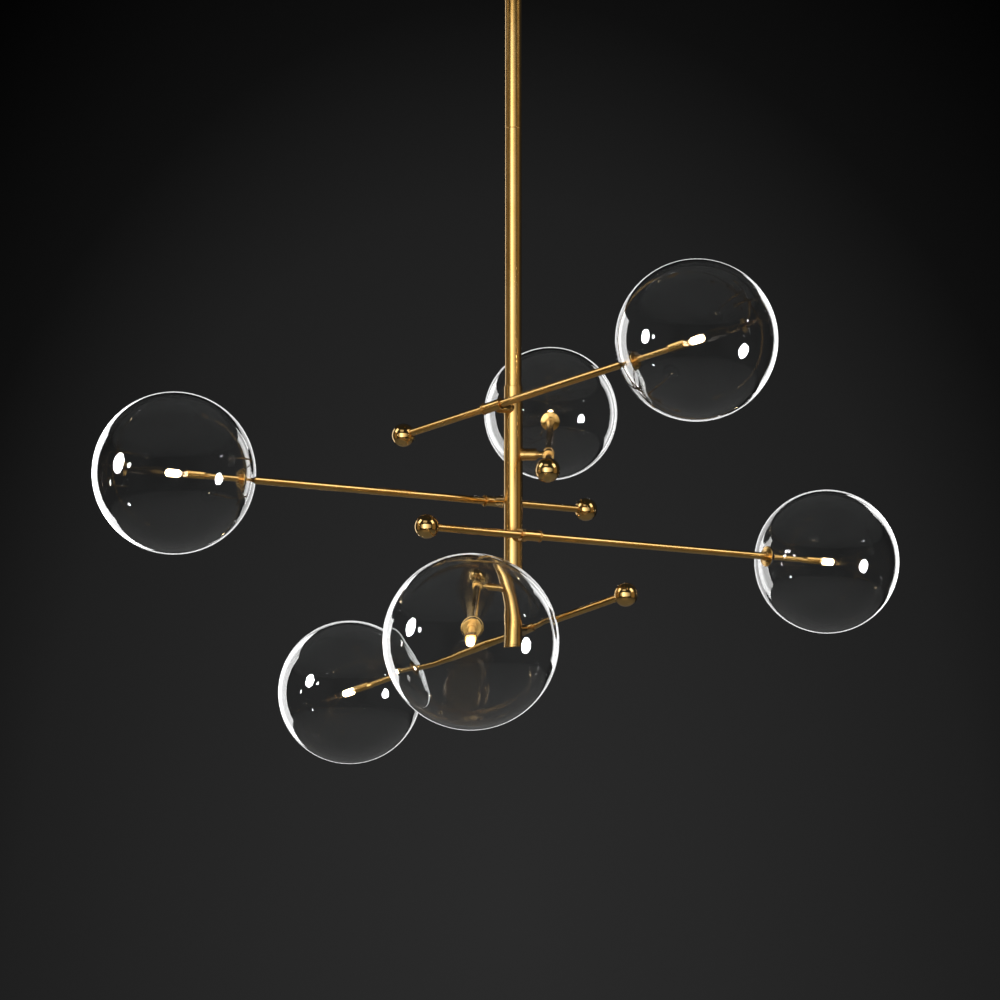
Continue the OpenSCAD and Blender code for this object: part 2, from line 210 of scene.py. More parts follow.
class Shape:
    """Points and faces of one piece, built up in millimetres and kept in metres."""

    def __init__(self):
        self.points = []
        self.faces = []

    def turned(self, corners, segments=64, warp=None, turn=None):
        """Surface of revolution about X, from corners (along, out, fillet radius).

        Corners that start on the axis make an open profile, and others make a closed one.
        """
        rings = []
        for along, out in rounded(corners):
            ring = []
            for j in range(1 if out < ON_AXIS else segments):
                angle = 2 * pi * j / segments
                point = Vector((along, out * cos(angle), out * sin(angle)))
                if warp:
                    point = warp(point)
                if turn:
                    point = turn @ point
                ring.append(len(self.points))
                self.points.append(point * MM)
            rings.append(ring)
        pairs = list(zip(rings, rings[1:]))
        if corners[0][1] > 0:
            pairs.append((rings[-1], rings[0]))
        for a, b in pairs:
            for j in range(segments):
                k = j + 1
                quad = [a[j % len(a)], a[k % len(a)], b[k % len(b)], b[j % len(b)]]
                face = list(dict.fromkeys(quad))
                if len(face) > 2:
                    self.faces.append(face)
        return self

    def block(self, low, high, fillet):
        """Box with rounded edges."""
        low, high = Vector(low), Vector(high)
        place = Matrix.Translation((low + high) / 2) @ Matrix.Diagonal((*(high - low), 1))
        solid = bmesh.new()
        bmesh.ops.create_cube(solid, size=1, matrix=place)
        bmesh.ops.bevel(
            solid, geom=solid.edges[:], offset=fillet, segments=BEVEL_STEPS, profile=0.5,
            affect="EDGES"
        )
        solid.verts.index_update()
        first = len(self.points)
        self.points += [vert.co * MM for vert in solid.verts]
        self.faces += [[first + vert.index for vert in face.verts] for face in solid.faces]
        solid.free()
        return self


def in_scene(name, data):
    """Object of some data, linked into the scene."""
    thing = bpy.data.objects.new(name, data)
    scene.collection.objects.link(thing)
    return thing


def piece(name, shape, material, body, place, nodes=(), slot=None):
    """Object made of a shape, riding on a CAD body and standing for CAD nodes."""
    mesh = bpy.data.meshes.new(name)
    mesh.from_pydata(shape.points, [], shape.faces)
    mesh.materials.append(material)
    work = bmesh.new()
    work.from_mesh(mesh)
    bmesh.ops.recalc_face_normals(work, faces=work.faces[:])
    work.to_mesh(mesh)
    work.free()
    mesh.polygons.foreach_set("use_smooth", [True] * len(mesh.polygons))
    mesh.set_sharp_from_angle(angle=SHARP)
    thing = in_scene(name, mesh)
    thing.matrix_world = place
    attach(thing, body)
    if nodes:
        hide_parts(*nodes)
    return thing


def axes(origin, x, z):
    """Placement with its origin in metres and its X and Z axes along two unit vectors."""
    matrix = Matrix((x, z.cross(x), z)).transposed().to_4x4()
    matrix.translation = origin
    return matrix


def upright(z):
    """Placement on the stem's axis at height z in metres, with local X pointing up."""
    return axes(Vector((0, 0, z)), UP, EAST)


# ---------------------------------------------------------------- materials

def fill(ramp, stops):
    """Give a colour ramp its stops, each a position and a colour."""
    elements = ramp.color_ramp.elements
    while len(elements) < len(stops):
        elements.new(0.5)
    for element, (position, colour) in zip(elements, stops):
        element.position = position
        element.color = (*colour, 1)


def greys(levels):
    """A ramp's stops from positions and grey levels."""
    return [(position, (level, level, level)) for position, level in levels]


class Look:
    """A Principled material and the nodes that drive it."""

    def __init__(self, name, **uniform):
        self.material = bpy.data.materials.new(name)
        self.material.use_nodes = True
        self.nodes = self.material.node_tree.nodes
        self.links = self.material.node_tree.links
        self.shader = self.nodes["Principled BSDF"]
        for socket, value in uniform.items():
            self.shader.inputs[socket.replace("_", " ")].default_value = value
        self.place = self.add("TexCoord").outputs["Object"]

    def add(self, kind, inputs=None, **settings):
        """Node of a kind. Each input is a value, or another node's output to link to it."""
        node = self.nodes.new("ShaderNode" + kind)
        for key, value in settings.items():
            setattr(node, key, value)
        for key, value in (inputs or {}).items():
            if isinstance(value, bpy.types.NodeSocket):
                self.links.new(value, node.inputs[key])
            else:
                node.inputs[key].default_value = value
        return node

    def drive(self, socket, value):
        self.links.new(value, self.shader.inputs[socket])

    def noise(self, scale, detail=2.0, stretch=(1, 1, 1)):
        spread = self.add("Mapping", {"Vector": self.place, "Scale": stretch})
        inputs = {"Vector": spread.outputs[0], "Scale": scale, "Detail": detail}
        return self.add("TexNoise", inputs).outputs[0]

    def sum(self, a, b):
        return self.add("Math", {0: a, 1: b}, operation="ADD").outputs[0]

    def length(self, vector):
        return self.add("VectorMath", {0: vector}, operation="LENGTH").outputs["Value"]

    def ramp(self, factor, stops):
        node = self.add("ValToRGB", {"Fac": factor})
        fill(node, stops)
        return node.outputs[0]

    def span(self, factor, low, high, start=0.3, end=0.7, **settings):
        inputs = {"Value": factor, "From Min": start, "From Max": end}
        inputs |= {"To Min": low, "To Max": high}
        return self.add("MapRange", inputs, **settings).outputs[0]

    def mix(self, factor, first, second):
        node = self.add("MixShader", {0: factor})
        self.links.new(first, node.inputs[1])
        self.links.new(second, node.inputs[2])
        return node.outputs[0]

    def bump(self, height, strength, distance):
        inputs = {"Height": height, "Strength": strength, "Distance": distance}
        self.drive("Normal", self.add("Bump", inputs).outputs[0])


LENGTHWISE = (0.03, 1, 1)


def brass_look(name, dark, pale, smooth, rough):
    """Lacquered brass: slow tone changes, faint lengthwise polishing lines and soft smudges."""
    look = Look(name, Metallic=1.0, Coat_Weight=0.8, Coat_Roughness=0.12)
    tone = look.noise(14, detail=3)
    lines = look.noise(900, stretch=LENGTHWISE)
    smudge = look.noise(55, detail=4)
    look.drive("Base Color", look.ramp(tone, [(0.32, dark), (0.68, pale)]))
    worn = look.sum(lines, smudge)
    look.drive("Roughness", look.span(worn, smooth, rough, start=0.75, end=1.25))
    look.bump(lines, strength=0.02, distance=0.0001)
    return look.material


def steel_look(name, dark, pale, smooth, rough):
    """Zinc-plated steel: a slight tone change and a fine grain."""
    look = Look(name, Metallic=1.0)
    look.drive("Base Color", look.ramp(look.noise(30, detail=3), [(0.3, dark), (0.7, pale)]))
    look.drive("Roughness", look.span(look.noise(160, detail=4), smooth, rough))
    look.bump(look.noise(700), strength=0.15, distance=0.0001)
    return look.material


def plain_look(name, dark, pale, smooth, rough, grain_scale, grain):
    """Moulded plastic, rubber or ceramic: a slight tone change and a fine grain."""
    look = Look(name)
    look.drive("Base Color", look.ramp(look.noise(24, detail=3), [(0.3, dark), (0.7, pale)]))
    look.drive("Roughness", look.span(look.noise(90, detail=3), smooth, rough))
    look.bump(look.noise(grain_scale), strength=grain, distance=0.0002)
    return look.material


def glass_look(name, colour, ripple):
    """Clear blown glass with a slow ripple."""
    look = Look(
        name, Roughness=0.0, IOR=1.5, Transmission_Weight=1.0, Base_Color=(*colour, 1)
    )
    look.bump(look.noise(9, detail=1), strength=ripple, distance=0.001)
    return look.material


def glow_look(name, colour, strength):
    """Hot core of a lit bulb, near white in its middle and amber towards its edge."""
    amber_share, edge_share = (1.0, 0.55, 0.25), 0.08
    look = Look(name, Base_Color=(*colour, 1), Roughness=0.4)
    facing = look.add("LayerWeight", {"Blend": 0.5}).outputs["Facing"]
    hazy = look.sum(facing, look.span(look.noise(160), -0.05, 0.05))
    amber = tuple(channel * share for channel, share in zip(colour, amber_share))
    look.drive("Emission Color", look.ramp(hazy, [(0.35, colour), (0.95, amber)]))
    level = look.span(hazy, strength, edge_share * strength, start=0.3, end=1.0)
    look.drive("Emission Strength", level)
    return look.material


BRASS = brass_look(
    "brass", dark=(0.74, 0.42, 0.10), pale=(0.86, 0.54, 0.17), smooth=0.17, rough=0.23
)
POLISHED = brass_look(
    "polished_brass", dark=(0.76, 0.44, 0.12), pale=(0.86, 0.55, 0.18), smooth=0.035, rough=0.08
)
STEEL = steel_look(
    "zinc_steel", dark=(0.52, 0.53, 0.55), pale=(0.68, 0.68, 0.67), smooth=0.24, rough=0.42
)
GLASS = glass_look("clear_glass", colour=(0.985, 0.995, 0.992), ripple=0.05)
BULB_GLASS = glass_look("bulb_glass", colour=(1.0, 0.97, 0.92), ripple=0.1)
GLOW = glow_look("filament_glow", colour=(1.0, 0.80, 0.52), strength=16.0)
RUBBER = plain_look(
    "black_rubber", dark=(0.012, 0.012, 0.013), pale=(0.03, 0.03, 0.032), smooth=0.5, rough=0.7,
    grain_scale=1500, grain=0.3
)
CERAMIC = plain_look(
    "ceramic", dark=(0.78, 0.76, 0.70), pale=(0.86, 0.84, 0.79), smooth=0.25, rough=0.4,
    grain_scale=900, grain=0.1
)
CASE = plain_look(
    "driver_case", dark=(0.80, 0.80, 0.78), pale=(0.88, 0.88, 0.86), smooth=0.42, rough=0.6,
    grain_scale=2200, grain=0.35
)
SLEEVE = plain_look(
    "lead_sleeve", dark=(0.78, 0.76, 0.70), pale=(0.88, 0.86, 0.81), smooth=0.45, rough=0.6,
    grain_scale=800, grain=0.2
)


# ---------------------------------------------------------------- down-rods, stem and canopy

def height_of(node):
    """A node's height in millimetres."""
    low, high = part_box(node)
    return (high.z - low.z) / MM


def on_stem(name, node, corners, segments=96):
    """Brass piece turned about the stem's axis, with its corners measured from its lower end."""
    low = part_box(node)[0].z
    shape = Shape().turned(corners, segments)
    piece(name, shape, BRASS, "root", upright(low), [node], "brass")


def tube(node, radius, bottom_fillet, top_fillet):
    top = height_of(node)
    on_stem(node + "_tube", node, [
        (0, PLUG_R, 0), (0, radius, bottom_fillet), (top, radius, top_fillet), (top, PLUG_R, 0)
    ])


def stem_end():
    """Closing disc of the stem: a rounded button with a fine shadow line above it."""
    line, line_depth, spigot_depth = 0.25, 0.7, 1.7
    rim = (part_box("stem")[0].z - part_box("stem_cap")[0].z) / MM
    top = height_of("stem_cap")
    on_stem("stem_end", "stem_cap", [
        (0, 0, 0), (0, STEM_R, 1.1), (rim - line, STEM_R, 0.2),
        (rim - line, STEM_R - line_depth, 0), (rim, STEM_R - line_depth, 0),
        (rim, STEM_R - spigot_depth, 0), (top, STEM_R - spigot_depth, 0.4), (top, 0, 0)
    ])


def canopy():
    rim = height_of("canopy")
    inner = CANOPY_R - CANOPY_WALL
    on_stem("canopy_cup", "canopy", [
        (0, PLUG_R, 0), (0, CANOPY_R, 2.6), (rim, CANOPY_R, 0.4), (rim, inner, 0.4),
        (CANOPY_WALL, inner, 1.4), (CANOPY_WALL, PLUG_R, 0)
    ], segments=128)


def canopy_collar():
    neck_r, neck_top, grip_r, grip_low = 12, 6, 16, 13
    top = height_of("canopy_collar")
    on_stem("canopy_collar_turned", "canopy_collar", [
        (0, PLUG_R, 0), (0, neck_r, 0.5), (neck_top, neck_r, 1.2), (grip_low, grip_r, 1.2),
        (top, grip_r, 0.6), (top, PLUG_R, 0)
    ])


def thumb_screws():
    """Two screws through the canopy's rim, with knurled heads."""
    shank_r, shank_len, chamfer = 2, 6.5, 0.9
    low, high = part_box("canopy_screws")
    head_r = (high.z - low.z) / 2 / MM
    head_end = high.x / MM
    head_start = CANOPY_R + SEAT
    tip = head_start - shank_len
    corners = [
        (tip, 0, 0), (tip, shank_r, 0.4), (head_start, shank_r, 0), (head_start, head_r, 0.5),
        (head_end - chamfer, head_r, 0.3), (head_end, head_r - chamfer, 0.3), (head_end, 0, 0)
    ]

    def knurl(point):
        out = Vector((0, point.y, point.z))
        if out.length < head_r - KNURL_BAND:
            return point
        wave = 0.5 - 0.5 * cos(KNURL_TEETH * Vector((1, 0)).angle_signed(out.yz))
        return point - out.normalized() * (KNURL_DEPTH * wave)

    shape = Shape()
    for side in (0, pi):
        shape.turned(corners, 96, warp=knurl, turn=Matrix.Rotation(side, 3, "Z"))
    place = Matrix.Translation((0, 0, (low.z + high.z) / 2))
    piece("thumb_screws", shape, BRASS, "root", place, ["canopy_screws"], "brass")


def driver():
    """Power supply beside the bracket: a case with a lid, four screws and a gland at each end."""
    lid_inset, lid_h, lid_lap = 1.2, 1.6, 0.3
    gland_r, gland_band, gland_tip_r, gland_len, gland_lap = 3.6, 2.2, 2.8, 4, 0.5
    screw_r, screw_depth, screw_proud, screw_inset = 1.6, 0.6, 0.35, 4.5
    low, high = (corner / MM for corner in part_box("driver"))
    middle = (low + high) / 2
    shape = Shape().block(low, high - Vector((0, 0, lid_h - lid_lap)), 1.4)
    lid_low = Vector((low.x + lid_inset, low.y + lid_inset, high.z - lid_h))
    shape.block(lid_low, high - Vector((lid_inset, lid_inset, 0)), 0.5)
    gland = [
        (0, 0, 0), (0, gland_r, 0.3), (gland_band, gland_r, 0.5), (gland_len, gland_tip_r, 0.5),
        (gland_len, 0, 0)
    ]
    for side, turn in ((high.x - gland_lap, 0), (low.x + gland_lap, pi)):
        move = Matrix.Translation((side, middle.y, middle.z)) @ Matrix.Rotation(turn, 4, "Z")
        shape.turned(gland, 32, turn=move)
    piece("driver_case", shape, CASE, "root", Matrix(), ["driver"], "driver_case")

    screws = Shape()
    head = [
        (-screw_depth, 0, 0), (-screw_depth, screw_r, 0.2), (screw_proud, screw_r, 0.3),
        (screw_proud, 0, 0)
    ]
    for x in (low.x + screw_inset, high.x - screw_inset):
        for y in (low.y + screw_inset, high.y - screw_inset):
            move = Matrix.Translation((x, y, high.z)) @ Matrix.Rotation(-pi / 2, 4, "Y")
            screws.turned(head, 24, turn=move)
    piece("driver_screws", screws, STEEL, "root", Matrix(), slot="steel")


def dress(nodes, material):
    """CAD nodes whose shape stays, with a better material."""
    for node in nodes:
        thing = frame["nodes"][node]
        if not thing.material_slots:
            thing.data.materials.append(material)
        for place in thing.material_slots:
            place.material = material


# ---------------------------------------------------------------- arms

def sphere_centre(node, radius, hole):
    """Centre of a round node, from the sides of its box that face away from its hole."""
    low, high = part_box(node)
    centre = []
    for a, b, toward in zip(low, high, hole):
        centre.append(b - radius * MM if toward < (a + b) / 2 else a + radius * MM)
    return Vector(centre)


class Arm:
    """One arm's placements, from its joint and from its globe's and ball's centres.

    reach, mouth and seal are how far along the arm the globe's centre, its mouth and its seal are.
    """

    def __init__(self, joint):
        self.k = int(joint["name"].split("_")[1])
        self.body = joint["child"]
        pivot = Vector(joint["pos_m"])
        out = Vector(joint["axis"]).normalized()
        globe = sphere_centre(self.name("globe"), GLOBE_R, pivot)
        along = globe - sphere_centre(self.name("ball"), BALL_R, pivot)
        along -= along.dot(out) * out
        along.normalize()
        start = pivot + out * ARM_OFFSET * MM
        self.reach = (globe - start).dot(along) / MM
        self.place = axes(start, along, out)
        self.post_place = axes(pivot, out, UP)
        self.centre = self.place @ Vector((self.reach * MM, 0, 0))
        self.mouth = self.reach - MOUTH_DEPTH
        self.seal = self.mouth - SEAL_T

    def name(self, part):
        return f"{part}_{self.k}"

    def add(self, part, shape, material, node=None, slot=None):
        nodes = [self.name(node)] if node else ()
        return piece(self.name(part), shape, material, self.body, self.place, nodes, slot)


def post(arm):
    """Fixed half of the pivot, seated on the stem, with a shadow line between flange and barrel."""
    line, line_depth, sink = 0.35, 0.7, 0.05
    line_r = BARREL_R - line_depth

    def saddle(point):
        if point.x > POST_ROOT + END_BAND:
            return point
        return Vector((sqrt(STEM_R**2 - point.y**2) - sink, point.y, point.z))

    shape = Shape().turned([
        (POST_ROOT, PIVOT_BORE_R, 0), (POST_ROOT, FLANGE_R, 0), (FLANGE_TOP, FLANGE_R, 0.45),
        (FLANGE_TOP, line_r, 0), (FLANGE_TOP + line, line_r, 0),
        (FLANGE_TOP + line, BARREL_R, 0.3), (BARREL_END, BARREL_R, 0.8),
        (BARREL_END, PIVOT_BORE_R, 0.25)
    ], 80, warp=saddle)
    place, node = arm.post_place, arm.name("post")
    piece(arm.name("pivot_post"), shape, BRASS, "root", place, [node], "brass")


def tee(arm):
    """Moving half of the pivot: a sleeve on the arm, a flared neck, a thrust collar and the pin."""
    ring, groove, groove_r = 2.0, 0.7, 6.1
    mouth_r, mouth_edge_r, mouth_depth = 6.3, 6.5, 0.9
    mouth = SLEEVE_HALF - mouth_depth
    ring_low = SLEEVE_HALF - ring
    groove_low = ring_low - groove
    half = [
        (mouth, ARM_R + SEAT, 0), (mouth, mouth_r, 0), (SLEEVE_HALF, mouth_edge_r, 0),
        (SLEEVE_HALF, SLEEVE_RING_R, 0.4), (ring_low, SLEEVE_RING_R, 0.4),
        (ring_low, groove_r, 0), (groove_low, groove_r, 0), (groove_low, SLEEVE_R, 0.3)
    ]
    other = [(-along, out, fillet) for along, out, fillet in reversed(half)]
    shape = Shape().turned(half + other, 80)

    # From here on, distances run from the arm's own axis towards the stem
    foot, foot_r, sink = 5.2, 5.0, 0.4
    flare, flare_r, flare_end = 7.4, 4.7, 9.2
    collar_top, collar_low, collar_r, pin_end = 13.55, 15.15, 5.6, 24.2

    def saddle(point):
        if point.x > foot + END_BAND:
            return point
        return Vector((sqrt(max(SLEEVE_R**2 - point.y**2, 0)) - sink, point.y, point.z))

    # The neck's own X runs towards the stem, and its Y stays square to the arm
    down = Matrix(((0, 0, 1), (0, 1, 0), (-1, 0, 0)))
    shape.turned([
        (foot, 0, 0), (foot, foot_r, 0), (flare, flare_r, 0.8), (flare_end, PIVOT_R, 1.2),
        (collar_top, PIVOT_R, 0.3), (collar_top, collar_r, 0.4), (collar_low, collar_r, 0.4),
        (collar_low, PIVOT_R, 0.1), (pin_end, PIVOT_R, 0.3), (pin_end, 0, 0)
    ], warp=saddle, turn=down)
    arm.add("tilt_tee", shape, BRASS, "tee", "brass")


def rod(arm):
    shape = Shape().turned([
        (BALL_SOCKET, ARM_BORE_R, 0), (BALL_SOCKET, ARM_R, 0.2), (arm.seal, ARM_R, 0.2),
        (arm.seal, ARM_BORE_R, 0)
    ])
    arm.add("arm_rod", shape, BRASS, "rod", "brass")


def ball(arm):
    """Mirror-polished counterweight with an eased socket for the rod."""
    lip, ease, ease_end = 0.55, 0.15, 0.5
    bore = ARM_R + SEAT
    last = pi - asin((bore + lip) / BALL_R)
    corners = [(-TAIL - BALL_R, 0, 0)]
    for i in range(1, BALL_STEPS + 1):
        angle = last * i / BALL_STEPS
        corners.append((-TAIL - BALL_R * cos(angle), BALL_R * sin(angle), 0))
    edge = corners[-1][0]
    corners += [
        (edge - ease, bore + 0.2, 0), (edge - ease_end, bore, 0), (BALL_SOCKET, bore, 0),
        (BALL_SOCKET, 0, 0)
    ]
    shape = Shape().turned(corners, 96)
    arm.add("counterweight", shape, POLISHED, "ball", "polished_brass")


def cap(arm):
    """Brass disc outside the glass, and under it the rubber seal with its plug and washer."""
    rim_t, dome_t, dome_r = 1.4, 2.7, 7.6
    hub_start, hub_start_r, hub_end, hub_r = 3.2, 6.1, 7.0, 6.0
    face = arm.seal - SEAT
    bore = ARM_R + SEAT
    disc = Shape().turned([
        (face, bore, 0), (face, CAP_R, 0.4), (face - rim_t, CAP_R, 0.6),
        (face - dome_t, dome_r, 0.8), (face - hub_start, hub_start_r, 0.3),
        (face - hub_end, hub_r, 0.5), (face - hub_end, bore, 0)
    ], 96)
    arm.add("cap_disc", disc, BRASS, "cap", "brass")

    plug_r = MOUTH_R - 0.2
    seal_r = CAP_R - 0.8
    stalk_bore = STALK_R + SEAT
    seal_end = arm.mouth - SEAT
    plug_end = arm.mouth + 4.2
    seal = Shape().turned([
        (arm.seal, stalk_bore, 0), (arm.seal, seal_r, 0.3), (seal_end, seal_r, 0.3),
        (seal_end, plug_r, 0), (plug_end, plug_r, 0.4), (plug_end, stalk_bore, 0)
    ])
    arm.add("seal", seal, RUBBER)
    washer_start = plug_end + 0.05
    washer_end = plug_end + 1.8
    washer = Shape().turned([
        (washer_start, stalk_bore, 0), (washer_start, plug_r, 0.3), (washer_end, plug_r, 0.5),
        (washer_end, stalk_bore, 0)
    ])
    arm.add("clamp_washer", washer, BRASS, slot="brass")


def globe(arm):
    """Blown glass globe: true outside, uneven inside, and thicker towards its rounded lip."""
    lip_r = GLOBE_R - LIP_WALL
    outer_last = pi - asin(MOUTH_R / GLOBE_R)
    inner_last = pi - asin(MOUTH_R / lip_r)
    skin = 0.8
    seed = Vector((arm.k * 7.3, arm.k * 3.1, arm.k * 5.7))

    def wall(angle):
        share = max(0.0, (angle - LIP_START) / (inner_last - LIP_START))
        return WALL + (LIP_WALL - WALL) * share**2 * (3 - 2 * share)

    def uneven(point):
        radius = point.length
        if radius > GLOBE_R - skin:
            return point
        direction = point / radius
        wave = WAVE * noise.noise(direction * WAVE_SCALE + seed)
        wave += FINE_WAVE * noise.noise(direction * FINE_WAVE_SCALE + seed)
        share = min(1.0, max(0.0, (direction.x + WAVE_END) / WAVE_FADE))
        return direction * (radius + share * wave)

    corners = [(GLOBE_R, 0, 0)]
    for i in range(1, GLOBE_STEPS):
        angle = outer_last * i / GLOBE_STEPS
        corners.append((GLOBE_R * cos(angle), GLOBE_R * sin(angle), 0))
    corners.append((GLOBE_R * cos(outer_last), MOUTH_R, LIP_FILLET))
    corners.append((lip_r * cos(inner_last), MOUTH_R, LIP_FILLET))
    for i in range(GLOBE_STEPS - 1, 0, -1):
        angle = inner_last * i / GLOBE_STEPS
        radius = GLOBE_R - wall(angle)
        corners.append((radius * cos(angle), radius * sin(angle), 0))
    corners.append((GLOBE_R - WALL, 0, 0))
    # The object stays upright, so that its box is the sphere's own
    shape = Shape().turned(corners, GLOBE_SEGMENTS, warp=uneven, turn=arm.place.to_3x3())
    place, node = Matrix.Translation(arm.centre), arm.name("globe")
    return piece(arm.name("glass_globe"), shape, GLASS, arm.body, place, [node], "clear_glass")


def lamp_holder(arm):
    """Stalk, flat-sided holder with a recessed mouth, ring nut, and the ceramic socket in it."""
    plug_len, plug_r, plug_end, taper = 10, 3.3, 0.2, 5
    nut_start, nut_end, nut_r = 6.1, 9, 6.5
    socket_start, socket_end, socket_y, socket_z = 1.5, 0.3, 3.1, 5.4
    back = arm.reach + HOLDER_BACK
    front = arm.reach + HOLDER_FRONT
    floor = front - HOLDER_RECESS
    inner = HOLDER_R - HOLDER_WALL

    def flat_sides(point):
        out = sqrt(point.y**2 + point.z**2)
        inside = point.x > floor - END_BAND and out < inner + 0.05
        limit = HOLDER_FLAT - HOLDER_WALL if inside else HOLDER_FLAT
        return Vector((point.x, max(-limit, min(limit, point.y)), point.z))

    shape = Shape().turned([
        (arm.seal - plug_len, 0, 0), (arm.seal - plug_len, plug_r, 0),
        (arm.seal + plug_end, plug_r, 0), (arm.seal + plug_end, STALK_R, 0.2),
        (back, STALK_R, 1.0), (back + taper, HOLDER_R, 1.2), (front, HOLDER_R, 0.35),
        (front, inner, 0.2), (floor, inner, 0), (floor, 0, 0)
    ], 96, warp=flat_sides)
    nut_low, nut_high = arm.mouth + nut_start, arm.mouth + nut_end
    shape.turned([
        (nut_low, STALK_R + SEAT, 0), (nut_low, nut_r, 0.5), (nut_high, nut_r, 0.6),
        (nut_high, STALK_R + SEAT, 0.2)
    ], 48)
    arm.add("lamp_holder_body", shape, BRASS, "lamp_holder", "brass")

    low = (front - socket_start, -socket_y, -socket_z)
    high = (front - socket_end, socket_y, socket_z)
    arm.add("ceramic_socket", Shape().block(low, high, 0.5), CERAMIC)


def dome(centre, radius):
    """Corners of a round end, from its full radius to just before its tip on the axis."""
    angles = [pi / 2 * i / DOME_STEPS for i in range(DOME_STEPS)]
    return [(centre + radius * sin(angle), radius * cos(angle), 0) for angle in angles]


def bulb(arm):
    """Capsule bulb: a drawn glass envelope on a flat pinch, a glowing core and two pins."""
    foot_depth, foot_r, shoulder = 0.6, 2.4, 2.2
    hollow_start, hollow_foot_r, hollow_shoulder = 1.0, 1.4, 3.0
    pinch_y, pinch_z, pinch_sink, pinch_gap = 1.8, 4.0, 0.2, 0.7
    core_start, core_end, core_shoulder, core_r, core_ease = 1.6, 1.2, 3.0, 3.7, 0.9
    seat = arm.reach + HOLDER_FRONT
    neck = seat + PINCH_LEN
    end = neck + BULB_LEN
    hollow_r = BULB_R - BULB_WALL
    outer = [
        (neck - foot_depth, 0, 0), (neck - foot_depth, foot_r, 0.4),
        (neck + shoulder, BULB_R, 1.5), *dome(end - BULB_R, BULB_R), (end, 0, 0)
    ]
    inner = [
        (end - BULB_WALL, 0, 0), *reversed(dome(end - BULB_R, hollow_r)),
        (neck + hollow_shoulder, hollow_r, 1.2), (neck + hollow_start, hollow_foot_r, 0.3),
        (neck + hollow_start, 0, 0)
    ]
    shape = Shape().turned(outer, 48).turned(inner, 48)
    low = (seat - pinch_sink, -pinch_y, -pinch_z)
    shape.block(low, (neck - pinch_gap, pinch_y, pinch_z), 0.7)
    envelope = arm.add("bulb_envelope", shape, BULB_GLASS, "bulb", "bulb_glass")

    core_low, core_high = neck + core_start, end - core_end
    core = Shape().turned([
        (core_low, 0, 0), (core_low, core_r - core_ease, 0.6),
        (core_low + core_shoulder, core_r, 1.5), (core_high, core_r, 2.2), (core_high, 0, 0)
    ], 32)
    arm.add("bulb_core", core, GLOW)

    pins = Shape()
    pin_low, pin_high = seat - PIN_LEN, seat + PIN_ROOT
    pin = [(pin_low, 0, 0), (pin_low, PIN_R, 0.2), (pin_high, PIN_R, 0), (pin_high, 0, 0)]
    for side in (-PIN_SIDE, PIN_SIDE):
        pins.turned(pin, 16, turn=Matrix.Translation((0, 0, side)))
    arm.add("bulb_pins", pins, STEEL)
    return envelope


def bulb_light(arm):
    """The bulb's own small warm light."""
    data = bpy.data.lights.new(arm.name("bulb_light"), "POINT")
    data.energy = 1.2
    data.color = (1.0, 0.72, 0.42)
    data.shadow_soft_size = 0.004
    lamp = in_scene(arm.name("bulb_light"), data)
    lamp.location = arm.centre
    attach(lamp, arm.body)
    return lamp


# ---------------------------------------------------------------- studio

def studio():
    """Pale floor that curves up into a darker wall, in a full turn about the object."""
    floor_z, floor_r, wall_r, wall_top = -2.8, 5.0, 6.6, 3.6
    bend = wall_r - floor_r
    profile = [(floor_z, 0), (floor_z, floor_r / 2), (floor_z, floor_r)]
    for step in range(1, COVE_STEPS + 1):
        angle = pi / 2 * step / COVE_STEPS
        profile.append((floor_z + bend * (1 - cos(angle)), floor_r + bend * sin(angle)))
    profile.append((wall_top, wall_r))
    shape = Shape().turned([(along / MM, out / MM, 0) for along, out in profile], 128)
    mesh = bpy.data.meshes.new("studio_cove")
    mesh.from_pydata(shape.points, [], [face[::-1] for face in shape.faces])
    mesh.polygons.foreach_set("use_smooth", [True] * len(mesh.polygons))
    mesh.materials.append(cove_look())
    cove = in_scene("studio_cove", mesh)
    cove.matrix_world = upright(0)
    cove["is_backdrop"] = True
    return cove


def cove_look():
    """Paper on the floor, a glow of its own on the wall that is painted light, and clear when seen
    from behind.

    In the cove's own axes X is the height, Y points at the camera and Z to the right.
    """
    wall_start, wall_full = 3.9, 5.0
    # The wall's glow is a painted pool of light: brightest behind the object, low down, and falling
    # off to the sides and the top
    painted_light_centre, painted_light_shape, painted_light_reach = (2.4, 0, 0), (1, 0, 1.5), 7.0
    levels = [(0, 0.0235), (1.2, 0.0203), (1.9, 0.0176), (2.7, 0.0138), (3.1, 0.0095),
              (3.5, 0.0048), (4.5, 0.0008), (6.7, 0.022)]
    look = Look("studio_paper", Base_Color=(0.62, 0.62, 0.61, 1), Roughness=0.9)
    flat = look.add("Mapping", {"Vector": look.place, "Scale": (0, 1, 1)}).outputs[0]
    out = look.length(flat)
    rise = look.span(out, 0.0, 1.0, wall_start, wall_full, interpolation_type="SMOOTHSTEP")
    around = {"Vector": look.place, "Location": painted_light_centre, "Scale": painted_light_shape}
    far = look.length(look.add("Mapping", around).outputs[0])
    share = look.span(far, 0.0, 1.0, start=0.0, end=painted_light_reach)
    painted_light_stops = greys([(distance / painted_light_reach, level) for distance, level in levels])
    # Emission that paints this light on the wall, by distance from its brightest spot
    glow = look.add("Emission", {"Color": look.ramp(share, painted_light_stops), "Strength": 1.0})
    solid = look.mix(rise, look.shader.outputs[0], glow.outputs[0])
    behind = look.add("NewGeometry").outputs["Backfacing"]
    shown = look.mix(behind, solid, look.add("BsdfTransparent").outputs[0])
    look.links.new(shown, look.nodes["Material Output"].inputs["Surface"])
    return look.material


def camera():
    data = bpy.data.cameras.new("camera")
    data.lens = 90
    data.sensor_width = 36
    view = in_scene("camera", data)
    view.location = (-0.0175, -3.298, -0.877)
    view.rotation_euler = (pi / 2, 0, 0)
    scene.camera = view


